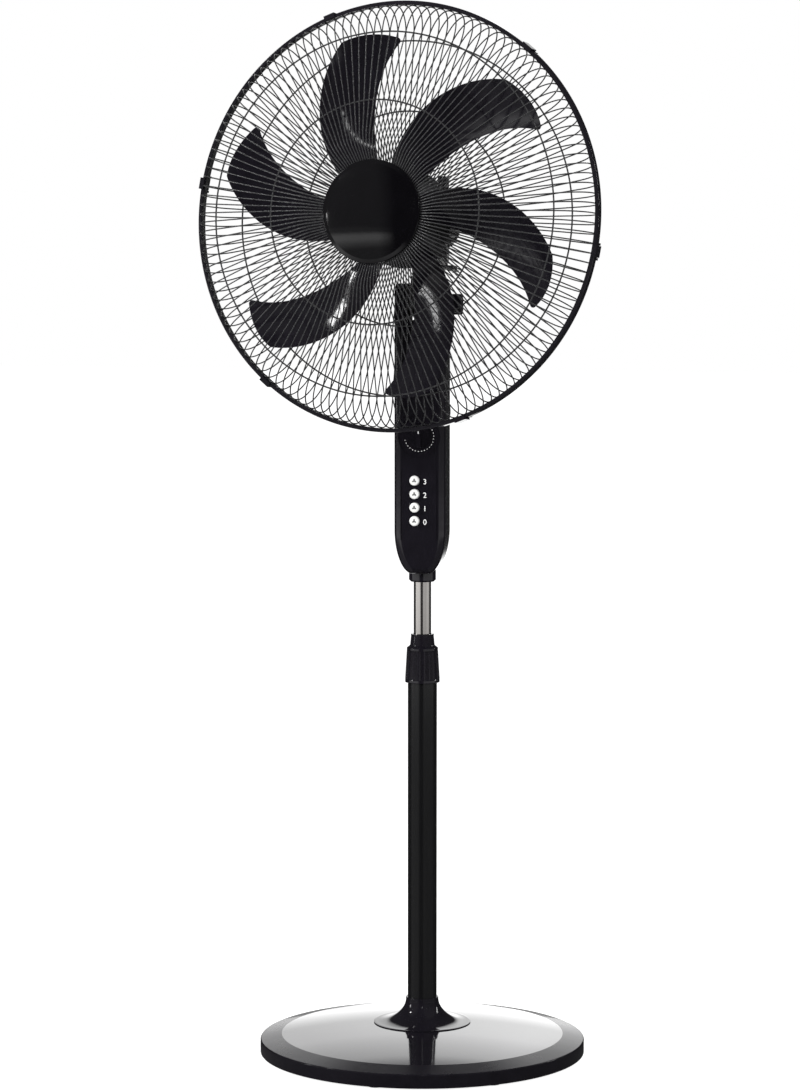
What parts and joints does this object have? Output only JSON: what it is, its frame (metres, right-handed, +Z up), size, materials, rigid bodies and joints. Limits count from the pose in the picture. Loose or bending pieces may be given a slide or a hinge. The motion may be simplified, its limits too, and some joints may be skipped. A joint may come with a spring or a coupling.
{
  "type": "pedestal fan",
  "caption": "Pedestal fan: round weighted base, telescopic pole, switch column with timer dial, and a tilting, oscillating head in a wire guard.",
  "frame": {"origin": "centre of the round base on the floor", "axes": "+Z up the pole, front of the switch column towards -Y"},
  "size_m": [0.507, 0.402, 1.2959],
  "materials": {
    "gloss_black": "polished black ABS mouldings",
    "satin_black": "plain black nylon and ABS inner parts",
    "guard_wire": "black powder-coated steel wire",
    "black_enamel": "gloss black enamelled steel",
    "chrome_tube": "bright chrome plate",
    "white_plastic": "white moulded button",
    "pale_plastic": "pale switch and timer bodies",
    "rubber_foot": "moulded rubber",
    "iron_weight": "rough casting",
    "zinc_steel": "bright zinc-plated steel",
    "cast_alloy": "die-cast",
    "bearing_bronze": "sintered bronze",
    "winding_copper": "varnished copper and laminations"
  },
  "bodies": {
    "base": {"base_cover": "gloss_black", "base_bottom": "satin_black", "base_feet": "rubber_foot", "base_weight": "iron_weight", "pole_flange": "zinc_steel", "flange_bolts": "zinc_steel", "flare_cover": "gloss_black", "outer_tube": "black_enamel", "collet_bush": "satin_black"},
    "lock_nut": {"lock_nut": "gloss_black"},
    "column": {"inner_tube": "chrome_tube", "tube_socket": "gloss_black", "fixing_screw": "satin_black", "box_front": "gloss_black", "box_rear": "gloss_black", "box_screws": "zinc_steel", "timer_body": "pale_plastic", "switch_body": "pale_plastic", "capacitor": "pale_plastic", "cord_gland": "satin_black", "neck_fork": "gloss_black", "tilt_bolt": "zinc_steel"},
    "timer": {"timer_knob": "gloss_black"},
    "button_0": {"button_0": "white_plastic"},
    "button_1": {"button_1": "white_plastic"},
    "button_2": {"button_2": "white_plastic"},
    "button_3": {"button_3": "white_plastic"},
    "neck": {"tilt_bracket": "cast_alloy"},
    "tilt_knob": {"tilt_knob": "gloss_black"},
    "head": {"gearbox_housing": "cast_alloy", "motor_front_bell": "cast_alloy", "motor_rear_bell": "cast_alloy", "bearings": "bearing_bronze", "stator": "winding_copper", "motor_front_cover": "gloss_black", "motor_rear_cover": "gloss_black", "rear_guard": "guard_wire", "rear_guard_rings": "guard_wire", "guard_nut": "gloss_black", "front_guard": "guard_wire", "front_guard_rings": "guard_wire", "guard_rim": "gloss_black", "centre_cap": "gloss_black", "cap_plate": "black_enamel"},
    "rotor": {"rotor_core": "zinc_steel", "motor_shaft": "zinc_steel", "drive_pin": "zinc_steel", "fan_blade": "gloss_black", "blade_spinner": "gloss_black"},
    "worm_wheel": {"worm_wheel": "satin_black"},
    "osc_knob": {"clutch_shaft": "zinc_steel", "oscillation_knob": "gloss_black"},
    "crank": {"crank_gear": "satin_black"},
    "link": {"link_arm": "zinc_steel"},
    "clip_1": {"rim_clip_1": "gloss_black"},
    "clip_2": {"rim_clip_2": "gloss_black"},
    "clip_3": {"rim_clip_3": "gloss_black"},
    "clip_4": {"rim_clip_4": "gloss_black"},
    "clip_5": {"rim_clip_5": "gloss_black"},
    "clip_6": {"rim_clip_6": "gloss_black"}
  },
  "joints": [
    {"name": "height_slide", "type": "slide", "parent": "base", "child": "column", "axis": [0, 0, 1], "range_m": [-0.06, 0.2]},
    {"name": "lock_nut_turn", "type": "hinge", "parent": "base", "child": "lock_nut", "pos_m": [0, 0, 0.495], "axis": [0, 0, 1], "range_deg": [0, 270]},
    {"name": "timer_turn", "type": "hinge", "parent": "column", "child": "timer", "pos_m": [0, -0.03, 0.77], "axis": [0, 1, 0], "range_deg": [0, 300]},
    {"name": "button_0_press", "type": "slide", "parent": "column", "child": "button_0", "axis": [0, 1, 0], "range_m": [0, 0.0035], "stiffness_N_per_m": 300, "springref_m": -0.003},
    {"name": "button_1_press", "type": "slide", "parent": "column", "child": "button_1", "axis": [0, 1, 0], "range_m": [0, 0.0035], "stiffness_N_per_m": 300, "springref_m": -0.003},
    {"name": "button_2_press", "type": "slide", "parent": "column", "child": "button_2", "axis": [0, 1, 0], "range_m": [0, 0.0035], "stiffness_N_per_m": 300, "springref_m": -0.003},
    {"name": "button_3_press", "type": "slide", "parent": "column", "child": "button_3", "axis": [0, 1, 0], "range_m": [0, 0.0035], "stiffness_N_per_m": 300, "springref_m": -0.003},
    {"name": "head_tilt", "type": "hinge", "parent": "column", "child": "neck", "pos_m": [0, 0, 0.93], "axis": [-1, 0, 0], "range_deg": [-8, 15]},
    {"name": "tilt_knob_turn", "type": "hinge", "parent": "column", "child": "tilt_knob", "pos_m": [0.034, 0, 0.93], "axis": [1, 0, 0], "range_deg": [0, 270]},
    {"name": "oscillation", "type": "hinge", "parent": "neck", "child": "head", "pos_m": [0, 0, 0.93], "axis": [0, 0.1045, 0.9945], "range_deg": [-25.4, 52.6]},
    {"name": "blade_spin", "type": "hinge", "parent": "head", "child": "rotor", "pos_m": [-0.0232, -0.06378, 1.03725], "axis": [0.2351, 0.9666, -0.1016], "continuous": true},
    {"name": "worm_wheel_turn", "type": "hinge", "parent": "head", "child": "worm_wheel", "pos_m": [0.01815, 0.04701, 1.02561], "axis": [0, 0.1045, 0.9945], "continuous": true},
    {"name": "oscillation_knob_press", "type": "slide", "parent": "head", "child": "osc_knob", "axis": [0, 0.1045, 0.9945], "range_m": [-0.006, 0]},
    {"name": "crank_turn", "type": "hinge", "parent": "head", "child": "crank", "pos_m": [0.01815, 0.04174, 0.97539], "axis": [0, 0.1045, 0.9945], "range_deg": [-75, 37]},
    {"name": "link_turn", "type": "hinge", "parent": "crank", "child": "link", "pos_m": [0.03305, 0.04278, 0.96874], "axis": [0, 0.1045, 0.9945], "range_deg": [-37, 75]},
    {"name": "clip_1_open", "type": "hinge", "parent": "head", "child": "clip_1", "pos_m": [0.13944, -0.07407, 1.23653], "axis": [-0.7446, 0.2463, 0.6204], "range_deg": [0, 60]},
    {"name": "clip_2_open", "type": "hinge", "parent": "head", "child": "clip_2", "pos_m": [-0.10684, -0.01014, 1.27473], "axis": [-0.9133, 0.184, -0.3632], "range_deg": [0, 60]},
    {"name": "clip_3_open", "type": "hinge", "parent": "head", "child": "clip_3", "pos_m": [-0.26759, 0.00793, 1.07464], "axis": [-0.1688, -0.0623, -0.9837], "range_deg": [0, 60]},
    {"name": "clip_4_open", "type": "hinge", "parent": "head", "child": "clip_4", "pos_m": [-0.18206, -0.03792, 0.83635], "axis": [0.7446, -0.2463, -0.6204], "range_deg": [0, 60]},
    {"name": "clip_5_open", "type": "hinge", "parent": "head", "child": "clip_5", "pos_m": [0.06423, -0.10185, 0.79814], "axis": [0.9133, -0.184, 0.3632], "range_deg": [0, 60]},
    {"name": "clip_6_open", "type": "hinge", "parent": "head", "child": "clip_6", "pos_m": [0.22498, -0.11992, 0.99823], "axis": [0.1688, 0.0623, 0.9837], "range_deg": [0, 60]}
  ],
  "couplings": [
    {"joint": "worm_wheel_turn", "follows": "blade_spin", "ratio": -0.041667},
    {"joint": "crank_turn", "follows": "oscillation", "ratio": -1.4061},
    {"joint": "link_turn", "follows": "oscillation", "ratio": 1.4051}
  ]
}
